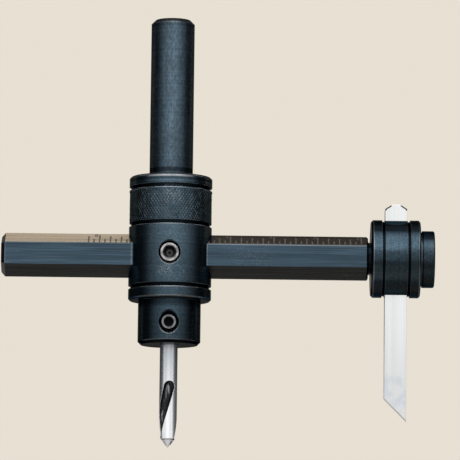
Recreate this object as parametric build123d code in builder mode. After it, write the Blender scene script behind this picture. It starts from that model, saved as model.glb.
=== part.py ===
from build123d import *
import math
import os

# Adjustable circle cutter: a round spindle body carries a sliding hexagonal beam, a pilot drill
# and, on the beam's end, a collar that clamps a square tool bit.
# The origin is on the spindle's axis, at the shoulder where the shank meets the body.
# +Z runs up the shank, +X along the beam towards the tool bit, and -Y is the lock screws' side.

os.makedirs("parts", exist_ok=True)

# Cuts and fits
overrun = 1.0
running_clearance = 0.05
thread_clearance = 0.04
screw_mouth_angle = 90
tenon_clearance = 0.01
seat_gap = 0.03

# Shank
shank_diameter = 12.7
shank_length = 46.7
shank_chamfer = 1.2
tenon_diameter = 9.5
tenon_web = 5.25

# Body, its turned grooves and the band that carries the knurl
body_diameter = 24.2
body_length = 36.2
body_top_chamfer = 0.5
body_bottom_chamfer = 0.5
groove_width = 1.15
groove_depth = 0.6
top_groove_drop = 2.9
knurl_land = 0.4
knurl_width = 9.15
knurl_recess = 0.15
bottom_groove_rise = 3.2

# Boss under the body, which holds the pilot drill
boss_diameter = 18.3
boss_length = 12.9
boss_chamfer = 0.9

# Beam, a hexagonal bar with a turned spigot on its tool end
beam_drop = 23.1
beam_across_flats = 11.11
beam_rear_reach = 49.1
beam_front_reach = 57.7
beam_rear_chamfer = 1.1
beam_front_chamfer = 0.4
spigot_wall = 1.5875
spigot_end_gap = 0.55
spigot_chamfer = 0.4

# Tool bit, a square bar with a crowned top and a ground 45 degree end
bit_width = 6.35
bit_length = 63.5
bit_rise = 15.6
bit_end_angle = 45
bit_relief_angle = 8
bit_crown_height = 1.2
bit_crown_run = 1.9
bit_bevel = 0.4

# Tool collar
collar_diameter = 22.7
collar_length = 14.35
collar_gap = 0.8
collar_inner_chamfer = 0.6
collar_outer_chamfer = 0.45
collar_groove_width = 0.8
collar_groove_depth = 0.45
collar_groove_offset = 3.7
collar_bit_inset = 7.3

# Clamp screw and its washer
washer_thickness = 0.6
washer_diameter = 15.8
clamp_head_diameter = 16.6
clamp_head_thickness = 3.55
clamp_head_chamfer = 0.3
clamp_thread_diameter = 6.35
clamp_tip_chamfer = 0.5
clamp_socket_across_flats = 4.76
clamp_socket_depth = 3.0
clamp_slot_play = 0.6
clamp_tip_gap = 0.15

# Pilot drill
pilot_diameter = 5.16
pilot_length = 47.5
pilot_point_angle = 90
pilot_top_chamfer = 0.4
pilot_bore_web = 1.5
pilot_bore_headroom = 0.37
flute_count = 2
flute_length = 19.3
flute_lead = 52.5
flute_radius = 1.64
flute_web = 1.6
flute_start_angle = 157

# Beam lock screw
beam_screw_diameter = 6.35
beam_screw_recess = 0.7
beam_screw_rim_chamfer = 0.55
beam_screw_tip_chamfer = 0.8
beam_screw_socket_across_flats = 3.175
beam_screw_socket_depth = 2.6
beam_screw_mouth_diameter = 7.3

# Pilot lock screw
pilot_screw_rise = 6.1
pilot_screw_diameter = 4.826
pilot_screw_recess = 1.1
pilot_screw_rim_chamfer = 0.35
pilot_screw_tip_chamfer = 0.6
pilot_screw_socket_across_flats = 2.38
pilot_screw_socket_depth = 2.2
pilot_screw_mouth_diameter = 7.1

# Hexagon shared by the beam, its hole and the sockets
hexagon_sides = 6
hexagon_turn = 30

# Places on the spindle, worked out from the sizes above
hexagon_corner_ratio = 1 / math.cos(math.radians(hexagon_turn))
beam_hole_radius = beam_across_flats / 2 + running_clearance
beam_hole_corner = beam_hole_radius * hexagon_corner_ratio
tenon_length = beam_drop - beam_hole_corner - tenon_web
knurl_drop = top_groove_drop + groove_width + knurl_land
boss_foot = -body_length - boss_length
pilot_bore_end = -beam_drop - beam_hole_corner - pilot_bore_web
pilot_top = pilot_bore_end - pilot_bore_headroom
pilot_tip = pilot_top - pilot_length
pilot_screw_drop = body_length + boss_length - pilot_screw_rise

# Places along the beam
spigot_diameter = bit_width + 2 * spigot_wall
collar_start = beam_front_reach + collar_gap
collar_end = collar_start + collar_length
spigot_end = collar_end - spigot_end_gap
bit_reach = collar_start + collar_bit_inset
slot_start = bit_reach - bit_width / 2 - running_clearance
slot_end = bit_reach + bit_width / 2 + clamp_slot_play
washer_end = collar_end + washer_thickness
clamp_tip = slot_end + clamp_tip_gap
bit_top = bit_rise - beam_drop
bit_tip = bit_top - bit_length


def on_beam(x):
    """The plane square to the beam's axis at x, with its origin on that axis."""
    return Plane(origin=(x, 0, -beam_drop), x_dir=(0, 1, 0), z_dir=(1, 0, 0))


def on_front(radius, drop):
    """The plane that touches the front of a spindle of this radius, drop below the top face."""
    return Plane(origin=(0, -radius, -drop), x_dir=(1, 0, 0), z_dir=(0, -1, 0))


# Shank, with the tenon that presses into the body
with BuildPart() as shank:
    with BuildSketch(Plane.XY):
        Circle(shank_diameter / 2)
    extrude(amount=shank_length)
    chamfer(shank.faces().sort_by(Axis.Z)[-1].edges(), length=shank_chamfer)
    with BuildSketch(Plane.XY.offset(-tenon_length)):
        Circle(tenon_diameter / 2)
    extrude(amount=tenon_length)
shank.part.label = "shank"
export_step(shank.part, "parts/shank.step")

# Body and boss, turned from one bar, with the cross hole for the beam
with BuildPart() as body:
    with BuildSketch(Plane.XY.offset(-body_length)):
        Circle(body_diameter / 2)
    extrude(amount=body_length)
    chamfer(body.faces().sort_by(Axis.Z)[-1].edges(), length=body_top_chamfer)
    chamfer(body.faces().sort_by(Axis.Z)[0].edges(), length=body_bottom_chamfer)
    with BuildSketch(Plane.XY.offset(-body_length)):
        Circle(boss_diameter / 2)
    extrude(amount=-boss_length)
    chamfer(body.faces().sort_by(Axis.Z)[0].edges(), length=boss_chamfer)

    turned_cuts = [
        (top_groove_drop, groove_width, groove_depth),
        (knurl_drop, knurl_width, knurl_recess),
        (knurl_drop + knurl_width, groove_width, groove_depth),
        (body_length - bottom_groove_rise - groove_width, groove_width, groove_depth),
    ]
    for drop, width, depth in turned_cuts:
        with BuildSketch(Plane.XY.offset(-drop - width)):
            Circle(body_diameter / 2 + overrun)
            Circle(body_diameter / 2 - depth, mode=Mode.SUBTRACT)
        extrude(amount=width, mode=Mode.SUBTRACT)

    with Locations(Plane.XY):
        Hole(tenon_diameter / 2 + tenon_clearance, depth=tenon_length + seat_gap)
    with BuildSketch(on_beam(-body_diameter / 2 - overrun)):
        RegularPolygon(
            beam_hole_radius,
            side_count=hexagon_sides,
            major_radius=False,
            rotation=hexagon_turn,
        )
    extrude(amount=body_diameter + 2 * overrun, mode=Mode.SUBTRACT)

    with BuildSketch(Plane.XY.offset(boss_foot - overrun)):
        Circle(pilot_diameter / 2 + running_clearance)
    extrude(amount=pilot_bore_end - boss_foot + overrun, mode=Mode.SUBTRACT)

    with Locations(on_front(body_diameter / 2, beam_drop)):
        CounterSinkHole(
            beam_screw_diameter / 2 + thread_clearance,
            counter_sink_radius=beam_screw_mouth_diameter / 2,
            counter_sink_angle=screw_mouth_angle,
            depth=body_diameter / 2,
        )
    with Locations(on_front(boss_diameter / 2, pilot_screw_drop)):
        CounterSinkHole(
            pilot_screw_diameter / 2 + thread_clearance,
            counter_sink_radius=pilot_screw_mouth_diameter / 2,
            counter_sink_angle=screw_mouth_angle,
            depth=boss_diameter / 2,
        )
body.part.label = "body"
export_step(body.part, "parts/body.step")

# Beam, with the cross slot that the tool bit passes through
with BuildPart() as beam:
    with BuildSketch(on_beam(-beam_rear_reach)):
        RegularPolygon(
            beam_across_flats / 2,
            side_count=hexagon_sides,
            major_radius=False,
            rotation=hexagon_turn,
        )
    extrude(amount=beam_rear_reach + beam_front_reach)
    chamfer(beam.faces().sort_by(Axis.X)[0].edges(), length=beam_rear_chamfer)
    chamfer(beam.faces().sort_by(Axis.X)[-1].edges(), length=beam_front_chamfer)
    with BuildSketch(on_beam(beam_front_reach)):
        Circle(spigot_diameter / 2)
    extrude(amount=spigot_end - beam_front_reach)
    chamfer(beam.faces().sort_by(Axis.X)[-1].edges(), length=spigot_chamfer)
    with BuildSketch(Plane.XY.offset(-beam_drop - spigot_diameter)):
        with Locations(((slot_start + slot_end) / 2, 0)):
            Rectangle(slot_end - slot_start, bit_width + 2 * running_clearance)
    extrude(amount=2 * spigot_diameter, mode=Mode.SUBTRACT)
    with Locations(on_beam(spigot_end)):
        Hole(clamp_thread_diameter / 2 + thread_clearance, depth=spigot_end - bit_reach)
beam.part.label = "beam"
export_step(beam.part, "parts/beam.step")

# Tool collar, bored for the spigot and broached for the tool bit
with BuildPart() as tool_collar:
    with BuildSketch(on_beam(collar_start)):
        Circle(collar_diameter / 2)
    extrude(amount=collar_length)
    chamfer(tool_collar.faces().sort_by(Axis.X)[0].edges(), length=collar_inner_chamfer)
    chamfer(tool_collar.faces().sort_by(Axis.X)[-1].edges(), length=collar_outer_chamfer)
    for side in (-1, 1):
        groove_middle = bit_reach + side * collar_groove_offset
        with BuildSketch(on_beam(groove_middle - collar_groove_width / 2)):
            Circle(collar_diameter / 2 + overrun)
            Circle(collar_diameter / 2 - collar_groove_depth, mode=Mode.SUBTRACT)
        extrude(amount=collar_groove_width, mode=Mode.SUBTRACT)
    with BuildSketch(on_beam(collar_start - overrun)):
        Circle(spigot_diameter / 2 + running_clearance)
    extrude(amount=collar_length + 2 * overrun, mode=Mode.SUBTRACT)
    bit_hole_width = bit_width + 2 * running_clearance
    with BuildSketch(Plane.XY.offset(-beam_drop - collar_diameter)):
        with Locations((bit_reach, 0)):
            Rectangle(bit_hole_width, bit_hole_width)
    extrude(amount=2 * collar_diameter, mode=Mode.SUBTRACT)
tool_collar.part.label = "tool_collar"
export_step(tool_collar.part, "parts/tool_collar.step")

# Washer between the collar and the clamp screw's head
with BuildPart() as clamp_washer:
    with BuildSketch(on_beam(collar_end)):
        Circle(washer_diameter / 2)
        Circle(clamp_thread_diameter / 2 + running_clearance, mode=Mode.SUBTRACT)
    extrude(amount=washer_thickness)
clamp_washer.part.label = "clamp_washer"
export_step(clamp_washer.part, "parts/clamp_washer.step")

# Clamp screw, with a wide thin head and a hexagon socket
with BuildPart() as clamp_screw:
    with BuildSketch(on_beam(washer_end)):
        Circle(clamp_head_diameter / 2)
    extrude(amount=clamp_head_thickness)
    chamfer(clamp_screw.faces().sort_by(Axis.X)[-1].edges(), length=clamp_head_chamfer)
    with BuildSketch(on_beam(clamp_tip)):
        Circle(clamp_thread_diameter / 2)
    extrude(amount=washer_end - clamp_tip)
    chamfer(clamp_screw.faces().sort_by(Axis.X)[0].edges(), length=clamp_tip_chamfer)
    with BuildSketch(on_beam(washer_end + clamp_head_thickness)):
        RegularPolygon(
            clamp_socket_across_flats / 2,
            side_count=hexagon_sides,
            major_radius=False,
            rotation=hexagon_turn,
        )
    extrude(amount=-clamp_socket_depth, mode=Mode.SUBTRACT)
clamp_screw.part.label = "clamp_screw"
export_step(clamp_screw.part, "parts/clamp_screw.step")

# Tool bit, lofted from its front outline to its back outline, which stops short for relief
bit_end_rise = bit_width * math.tan(math.radians(bit_end_angle))
bit_relief_rise = bit_width * math.tan(math.radians(bit_relief_angle))
with BuildPart() as tool_bit:
    for depth, lift in ((bit_width / 2, 0), (-bit_width / 2, bit_relief_rise)):
        with BuildSketch(Plane.XZ.offset(depth)):
            with BuildLine():
                Polyline(
                    (bit_reach - bit_width / 2, bit_top - bit_crown_height),
                    (bit_reach - bit_width / 2 + bit_crown_run, bit_top),
                    (bit_reach + bit_width / 2 - bit_crown_run, bit_top),
                    (bit_reach + bit_width / 2, bit_top - bit_crown_height),
                    (bit_reach + bit_width / 2, bit_tip + lift),
                    (bit_reach - bit_width / 2, bit_tip + lift + bit_end_rise),
                    close=True,
                )
            make_face()
    loft(ruled=True)
    ground_edge = tool_bit.faces().sort_by(Axis.Y)[0].edges().sort_by(Axis.Z)[0]
    chamfer(ground_edge, length=bit_bevel)
tool_bit.part.label = "tool_bit"
export_step(tool_bit.part, "parts/tool_bit.step")

# Pilot drill, with right-hand flutes that run out in round ends below its plain shank
point_height = pilot_diameter / 2 / math.tan(math.radians(pilot_point_angle / 2))
flute_offset = flute_web / 2 + flute_radius
flute_end = pilot_tip + flute_length - flute_radius
flute_cut_length = flute_end - pilot_tip + overrun
flute_twist = 360 * flute_cut_length / flute_lead
flute_cutters = []
flute_ends = []
for index in range(flute_count):
    start_angle = flute_start_angle + 360 * index / flute_count - 360 * overrun / flute_lead
    with BuildSketch(Plane.XY.offset(pilot_tip - overrun)) as flute_profile:
        with PolarLocations(flute_offset, 1, start_angle=start_angle):
            Circle(flute_radius)
    flute_cutters.append(
        Solid.extrude_linear_with_rotation(
            flute_profile.sketch.face(),
            center=(0, 0, pilot_tip - overrun),
            normal=(0, 0, flute_cut_length),
            angle=flute_twist,
        )
    )
    end_angle = math.radians(start_angle + flute_twist)
    flute_ends.append(
        (
            flute_offset * math.cos(end_angle),
            flute_offset * math.sin(end_angle),
            flute_end,
        )
    )
with BuildPart() as pilot_drill:
    with BuildSketch(Plane.XZ):
        with BuildLine():
            Polyline(
                (0, pilot_tip),
                (pilot_diameter / 2, pilot_tip + point_height),
                (pilot_diameter / 2, pilot_top - pilot_top_chamfer),
                (pilot_diameter / 2 - pilot_top_chamfer, pilot_top),
                (0, pilot_top),
                close=True,
            )
        make_face()
    revolve(axis=Axis.Z)
    add(flute_cutters, mode=Mode.SUBTRACT)
    with Locations(*flute_ends):
        Sphere(flute_radius, mode=Mode.SUBTRACT)
pilot_drill.part.label = "pilot_drill"
export_step(pilot_drill.part, "parts/pilot_drill.step")

# Set screws: the one that locks the beam and the one that holds the pilot drill
beam_screw_mouth = body_diameter / 2 - beam_screw_recess
beam_screw_length = beam_screw_mouth - beam_across_flats / 2 - seat_gap
with BuildPart() as beam_lock_screw:
    with BuildSketch(on_front(beam_screw_mouth, beam_drop)):
        Circle(beam_screw_diameter / 2)
    extrude(amount=-beam_screw_length)
    chamfer(beam_lock_screw.faces().sort_by(Axis.Y)[0].edges(), length=beam_screw_rim_chamfer)
    chamfer(beam_lock_screw.faces().sort_by(Axis.Y)[-1].edges(), length=beam_screw_tip_chamfer)
    with BuildSketch(on_front(beam_screw_mouth, beam_drop)):
        RegularPolygon(
            beam_screw_socket_across_flats / 2, side_count=hexagon_sides, major_radius=False
        )
    extrude(amount=-beam_screw_socket_depth, mode=Mode.SUBTRACT)
beam_lock_screw.part.label = "beam_lock_screw"
export_step(beam_lock_screw.part, "parts/beam_lock_screw.step")

pilot_screw_mouth = boss_diameter / 2 - pilot_screw_recess
pilot_screw_length = pilot_screw_mouth - pilot_diameter / 2 - seat_gap
with BuildPart() as pilot_lock_screw:
    with BuildSketch(on_front(pilot_screw_mouth, pilot_screw_drop)):
        Circle(pilot_screw_diameter / 2)
    extrude(amount=-pilot_screw_length)
    chamfer(pilot_lock_screw.faces().sort_by(Axis.Y)[0].edges(), length=pilot_screw_rim_chamfer)
    chamfer(pilot_lock_screw.faces().sort_by(Axis.Y)[-1].edges(), length=pilot_screw_tip_chamfer)
    with BuildSketch(on_front(pilot_screw_mouth, pilot_screw_drop)):
        RegularPolygon(
            pilot_screw_socket_across_flats / 2, side_count=hexagon_sides, major_radius=False
        )
    extrude(amount=-pilot_screw_socket_depth, mode=Mode.SUBTRACT)
pilot_lock_screw.part.label = "pilot_lock_screw"
export_step(pilot_lock_screw.part, "parts/pilot_lock_screw.step")
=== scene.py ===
import math

import bpy
from mathutils import Matrix, Vector


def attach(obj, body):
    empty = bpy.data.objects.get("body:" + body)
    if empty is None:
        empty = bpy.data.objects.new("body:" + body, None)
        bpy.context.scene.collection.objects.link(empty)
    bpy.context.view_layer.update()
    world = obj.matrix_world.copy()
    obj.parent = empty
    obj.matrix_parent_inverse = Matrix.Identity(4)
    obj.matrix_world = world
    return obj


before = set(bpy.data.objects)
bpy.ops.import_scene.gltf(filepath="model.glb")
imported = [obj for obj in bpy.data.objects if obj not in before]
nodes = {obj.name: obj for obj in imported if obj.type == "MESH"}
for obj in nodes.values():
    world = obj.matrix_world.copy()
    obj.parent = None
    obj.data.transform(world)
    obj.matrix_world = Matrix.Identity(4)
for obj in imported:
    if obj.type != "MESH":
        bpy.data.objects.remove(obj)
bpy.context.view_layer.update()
mm = 0.001

# places on the tool, in millimetres
beamDrop = 23.1  # from the body's top face down to the beam's axis
bitReach = 65.8  # from the spindle's axis out to the middle of the tool bit
pilotScrewDrop = 43.0  # from the body's top face down to the pilot drill's lock screw
knurlLow, knurlHigh = -13.6, -4.45  # ends of the knurled band


def addObject(name, data):
    thing = bpy.data.objects.new(name, data)
    bpy.context.scene.collection.objects.link(thing)
    return thing


# camera

cameraSettings = {
    "aim": (17.4 * mm, 0, -15.06 * mm),
    "distance": 1.2,
    "elevation": -7.5,  # degrees; it looks slightly upwards
    "roll": 0.68,
    "frameWidth": 134.35 * mm,  # what the picture spans at the tool
    "sensorWidth": 36,
    "clip": (0.05, 30),
}


def makeCamera(settings):
    data = bpy.data.cameras.new("viewCamera")
    data.sensor_width = settings["sensorWidth"]
    data.lens = settings["sensorWidth"] * settings["distance"] / settings["frameWidth"]
    data.clip_start, data.clip_end = settings["clip"]
    camera = addObject("viewCamera", data)
    tilt = math.radians(settings["elevation"])
    back = Vector((0, -math.cos(tilt), math.sin(tilt)))
    spin = Matrix.Rotation(math.radians(settings["roll"]), 4, "Z")
    turn = (-back).to_track_quat("-Z", "Y").to_matrix().to_4x4()
    place = Matrix.Translation(Vector(settings["aim"]) + back * settings["distance"])
    camera.matrix_world = place @ turn @ spin
    bpy.context.scene.camera = camera


makeCamera(cameraSettings)
print("camera set")


# small helpers for node trees

def fill(tree, socket, value):
    # a socket takes another node's output or a plain value; a plain colour gets its alpha here
    if isinstance(value, bpy.types.NodeSocket):
        tree.links.new(value, socket)
    elif socket.type == "RGBA":
        socket.default_value = (*value, 1)
    else:
        socket.default_value = value


def addNode(tree, kind, values=None, **settings):
    node = tree.nodes.new(kind)
    for key, value in settings.items():
        setattr(node, key, value)
    for key, value in (values or {}).items():
        fill(tree, node.inputs[key], value)
    return node


def maths(tree, operation, *values, clamp=False):
    node = addNode(tree, "ShaderNodeMath", dict(enumerate(values)), operation=operation, use_clamp=clamp)
    return node.outputs[0]


def plus(tree, first, second):
    return maths(tree, "ADD", first, second)


def minus(tree, first, second):
    return maths(tree, "SUBTRACT", first, second)


def times(tree, first, second):
    return maths(tree, "MULTIPLY", first, second)


def larger(tree, first, second):
    return maths(tree, "MAXIMUM", first, second)


def vectorMaths(tree, operation, *values):
    node = addNode(tree, "ShaderNodeVectorMath", dict(enumerate(values)), operation=operation)
    return node.outputs["Value" if operation == "LENGTH" else "Vector"]


def splitAxes(tree, vector):
    return addNode(tree, "ShaderNodeSeparateXYZ", {"Vector": vector}).outputs


def joinAxes(tree, x, y, z):
    return addNode(tree, "ShaderNodeCombineXYZ", {"X": x, "Y": y, "Z": z}).outputs[0]


def ramp(tree, value, low, high, start=0.0, end=1.0):
    values = {"Value": value, "From Min": low, "From Max": high, "To Min": start, "To Max": end}
    return addNode(tree, "ShaderNodeMapRange", values, interpolation_type="SMOOTHSTEP").outputs["Result"]


def noise(tree, place, scale, detail, **others):
    values = {"Vector": place, "Scale": scale, "Detail": detail, **others}
    return addNode(tree, "ShaderNodeTexNoise", values).outputs["Fac"]


def acrossNoise(tree, value, start, end):
    # noise seldom leaves 0.3 to 0.7, so that span is stretched from start to end
    return ramp(tree, value, 0.3, 0.7, start, end)


def blendColours(tree, share, first, second, mode="MIX"):
    values = {0: share, 6: first, 7: second}
    return addNode(tree, "ShaderNodeMix", values, data_type="RGBA", blend_type=mode).outputs[2]


def dim(tree, colour, share):
    # the colour times a grey of this share
    grey = addNode(tree, "ShaderNodeCombineColor", {"Red": share, "Green": share, "Blue": share}).outputs[0]
    return blendColours(tree, 1.0, colour, grey, "MULTIPLY")


def newGroup(name, inputs, outputs, kind="ShaderNodeTree"):
    tree = bpy.data.node_groups.new(name, kind)
    for label, socketKind, value in inputs:
        socket = tree.interface.new_socket(
            name=label, in_out="INPUT", socket_type="NodeSocket" + socketKind)
        if value is not None:
            socket.default_value = value
    for label, socketKind in outputs:
        tree.interface.new_socket(name=label, in_out="OUTPUT", socket_type="NodeSocket" + socketKind)
    return tree, tree.nodes.new("NodeGroupInput").outputs, tree.nodes.new("NodeGroupOutput").inputs


def placeGroup(tree, group, values):
    return addNode(tree, "ShaderNodeGroup", values, node_tree=group).outputs


# shared effects

effectSettings = {
    "coarseScale": 0.23,  # the broad lines of the grain, against the fine ones
    "coarseShare": 0.4,
    "cloudLimits": (0.36, 0.66),
    "speckLimits": (0.35, 0.7),
    "speckTone": (0.78, 1.18),
    "samples": 8,
}


def makeRubbedEdges(settings):
    # where an outside edge has been rubbed through to bare steel
    tree, given, result = newGroup("rubbedEdges", [
        ("Position", "Vector", None), ("Reach", "Float", 0.3 * mm), ("Low", "Float", 0.05),
        ("High", "Float", 0.25), ("Patch Scale", "Float", 250.0), ("Patchiness", "Float", 0.5),
    ], [("Mask", "Float")])
    inside = addNode(tree, "ShaderNodeAmbientOcclusion", {"Distance": given["Reach"]},
                     samples=settings["samples"], inside=True, only_local=True).outputs["AO"]
    unworn = acrossNoise(tree, noise(tree, given["Position"], given["Patch Scale"], 3.0), 1.0, 0.0)
    kept = minus(tree, 1.0, times(tree, given["Patchiness"], unworn))
    edge = times(tree, minus(tree, 1.0, inside), kept)
    tree.links.new(ramp(tree, edge, given["Low"], given["High"]), result["Mask"])
    return tree


def makeLineGrain(settings):
    # fine lines across the stretched direction: turning marks or drawing marks
    tree, given, result = newGroup(
        "lineGrain", [("Position", "Vector", None), ("Stretch", "Vector", None)],
        [("Height", "Float"), ("Tone", "Float")])
    drawn = vectorMaths(tree, "MULTIPLY", given["Position"], given["Stretch"])
    fine = noise(tree, drawn, 1.0, 4.0, Roughness=0.65)
    coarse = noise(tree, drawn, settings["coarseScale"], 2.0)
    share = settings["coarseShare"]
    tree.links.new(plus(tree, times(tree, fine, 1 - share), times(tree, coarse, share)), result["Height"])
    tree.links.new(coarse, result["Tone"])
    return tree


def makeOxideTone(settings):
    # black oxide is never one colour: bluer and browner clouds, and small dull specks
    tree, given, result = newGroup("oxideTone", [
        ("Position", "Vector", None), ("Stretch", "Vector", None),
        ("Blue", "Color", (0.06, 0.095, 0.12, 1)), ("Dull", "Color", (0.05, 0.06, 0.066, 1)),
        ("Cloud Scale", "Float", 90.0), ("Speck Scale", "Float", 2000.0),
    ], [("Colour", "Color"), ("Cloud", "Float")])
    drawn = vectorMaths(tree, "MULTIPLY", given["Position"], given["Stretch"])
    clouds = noise(tree, drawn, given["Cloud Scale"], 5.0, Roughness=0.6, Distortion=0.4)
    cloud = ramp(tree, clouds, *settings["cloudLimits"])
    specks = noise(tree, drawn, given["Speck Scale"], 2.0)
    speck = ramp(tree, specks, *settings["speckLimits"], *settings["speckTone"])
    tinted = blendColours(tree, cloud, given["Blue"], given["Dull"])
    tree.links.new(dim(tree, tinted, speck), result["Colour"])
    tree.links.new(cloud, result["Cloud"])
    return tree


def makeHandlingMarks():
    # nicks and short scratches from use, stretched along one direction
    tree, given, result = newGroup("handlingMarks", [
        ("Position", "Vector", None), ("Stretch", "Vector", None),
        ("Low", "Float", 0.66), ("High", "Float", 0.76),
    ], [("Mask", "Float")])
    marks = noise(tree, vectorMaths(tree, "MULTIPLY", given["Position"], given["Stretch"]), 1.0, 3.0)
    tree.links.new(ramp(tree, marks, given["Low"], given["High"]), result["Mask"])
    return tree


def makeSoftNormal(settings):
    # rounds every corner a little, so that upward edges catch the light and downward edges stay dark
    tree, given, result = newGroup("softNormal", [("Radius", "Float", 0.2 * mm)], [("Normal", "Vector")])
    bevel = addNode(tree, "ShaderNodeBevel", {"Radius": given["Radius"]}, samples=settings["samples"])
    tree.links.new(bevel.outputs["Normal"], result["Normal"])
    return tree


def makeBandMask():
    # one between two limits, with soft sides
    tree, given, result = newGroup("bandMask", [
        ("Value", "Float", 0.0), ("Low", "Float", 0.0), ("High", "Float", 1.0), ("Soft", "Float", 0.1),
    ], [("Mask", "Float")])
    half = times(tree, given["Soft"], 0.5)
    low, high = given["Low"], given["High"]
    rising = ramp(tree, given["Value"], minus(tree, low, half), plus(tree, low, half))
    falling = ramp(tree, given["Value"], minus(tree, high, half), plus(tree, high, half), 1.0, 0.0)
    tree.links.new(times(tree, rising, falling), result["Mask"])
    return tree


rubbedEdges = makeRubbedEdges(effectSettings)
lineGrain = makeLineGrain(effectSettings)
oxideTone = makeOxideTone(effectSettings)
handlingMarks = makeHandlingMarks()
softNormal = makeSoftNormal(effectSettings)
bandMask = makeBandMask()
print("shared effects made")


# steps that the finishes have in common

def startMaterial(name):
    material = bpy.data.materials.new(name)
    material.use_nodes = True
    tree = material.node_tree
    shader = tree.nodes["Principled BSDF"]
    fill(tree, shader.inputs["Metallic"], 1.0)
    place = addNode(tree, "ShaderNodeTexCoord").outputs["Object"]
    return material, tree, shader, place


def grainOf(tree, place, stretch):
    return placeGroup(tree, lineGrain, {"Position": place, "Stretch": stretch})


def softened(tree, radius):
    return placeGroup(tree, softNormal, {"Radius": radius})["Normal"]


def setBump(tree, shader, height, look):
    bump = addNode(tree, "ShaderNodeBump", {
        "Height": height, "Distance": look["grainDepth"], "Strength": 1.0,
        "Normal": softened(tree, look["softRadius"])})
    tree.links.new(bump.outputs["Normal"], shader.inputs["Normal"])


def axisDistance(tree, place, shift, keep):
    # shift brings the axis to the origin, and keep drops the part that runs along it
    moved = vectorMaths(tree, "ADD", place, shift)
    return vectorMaths(tree, "LENGTH", vectorMaths(tree, "MULTIPLY", moved, keep))


def measure(tree, place):
    # coordinates of the surface, and its distance R from the spindle's axis and Q from the beam's axis
    split = splitAxes(tree, place)
    axes = {axis: split[axis] for axis in "XYZ"}
    axes["R"] = axisDistance(tree, place, (0, 0, 0), (1, 1, 0))
    axes["Q"] = axisDistance(tree, place, (0, 0, beamDrop * mm), (0, 1, 1))
    return axes


def bandOf(tree, axes, spans):
    # product of soft bands, each given as (axis, low, high, softness) in millimetres
    mask = None
    for axis, low, high, soft in spans:
        band = placeGroup(tree, bandMask, {
            "Value": axes[axis], "Low": low * mm, "High": high * mm, "Soft": soft * mm})["Mask"]
        mask = times(tree, mask, band) if mask else band
    return mask


def fadeDown(tree, axes, colour, fade):
    # full tone at the high level, the given share of it at the low level
    high, low, share = fade
    return dim(tree, colour, ramp(tree, axes["Z"], low * mm, high * mm, share, 1.0))


# black oxide, for most of the pieces

oxideLook = {
    "blue": (0.082, 0.124, 0.158),
    "dull": (0.070, 0.100, 0.124),
    "bare": (0.50, 0.51, 0.52),
    "nickTone": (0.38, 0.43, 0.47),
    "roughness": (0.24, 0.33),
    "grainRoughness": 0.12,
    "grain": (0, 0, 6000),
    "grainDepth": 0.0012 * mm,
    "grainTone": (0.88, 1.12),
    "stretch": (1, 1, 1),
    "cloudScale": 90.0,
    "speckScale": 2000.0,
    "fade": None,  # darker downwards: (high z, low z, share of the tone that is left)
    "edgeReach": 0.25 * mm,
    "edgeLow": 0.08,
    "edgeHigh": 0.30,
    "edgeShare": 0.10,
    "patchiness": 0.6,
    "rubbed": [],  # where edges are rubbed harder: (share, bands)
    "marks": (900, 900, 260),
    "marksLow": 0.70,
    "marksHigh": 0.80,
    "marksShare": 0.25,
    "nicks": [],  # clusters of small bright nicks: (share, fineness, bands)
    "nickLimits": (0.52, 0.60),
    "scuffsAndHighlights": [],  # rubbed lines away from the edges, and painted highlight lines: (share, bands)
    "scuffLeast": 0.5,  # share of a scuff that is left where it is faintest
    "shadeAndGrime": [],  # painted shade in recesses, under edges and on shaded sides, with some oil and dirt: (share, bands)
    "facet": None,  # another colour on part of the piece, painted to stand in for a reflection: (colour, bands)
    "edgeHighlight": 0.70,  # painted highlight: how much brighter the upward edges are painted
    "edgeHighlightRise": (0.12, 0.5),  # upward part of the rounded edge's normal
    "edgeHighlightFlat": (0.75, 0.95),  # upward part of a face's own normal, past which it stays dark
    "grazing": 0.35,
    "softRadius": 0.22 * mm,
}


def oxideSkin(tree, look, place, axes, tone, grain):
    # the blackened skin's colour, and the share of it left after painted shade and grime
    oxide = dim(tree, tone["Colour"], acrossNoise(tree, grain["Tone"], *look["grainTone"]))
    if look["fade"]:
        oxide = fadeDown(tree, axes, oxide, look["fade"])
    if look["facet"]:
        colour, spans = look["facet"]
        oxide = blendColours(tree, bandOf(tree, axes, spans), oxide, colour)
    unshadedShare = 1.0
    # painted shade and grime darken the tone, band by band
    for share, spans in look["shadeAndGrime"]:
        unshadedShare = times(tree, unshadedShare, minus(tree, 1.0, times(tree, bandOf(tree, axes, spans), share)))
    oxide = dim(tree, oxide, unshadedShare)
    for share, fineness, spans in look["nicks"]:
        chip = ramp(tree, noise(tree, place, fineness, 2.0), *look["nickLimits"])
        chip = times(tree, times(tree, chip, bandOf(tree, axes, spans)), share)
        oxide = blendColours(tree, chip, oxide, look["nickTone"])
    return oxide, unshadedShare


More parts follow.
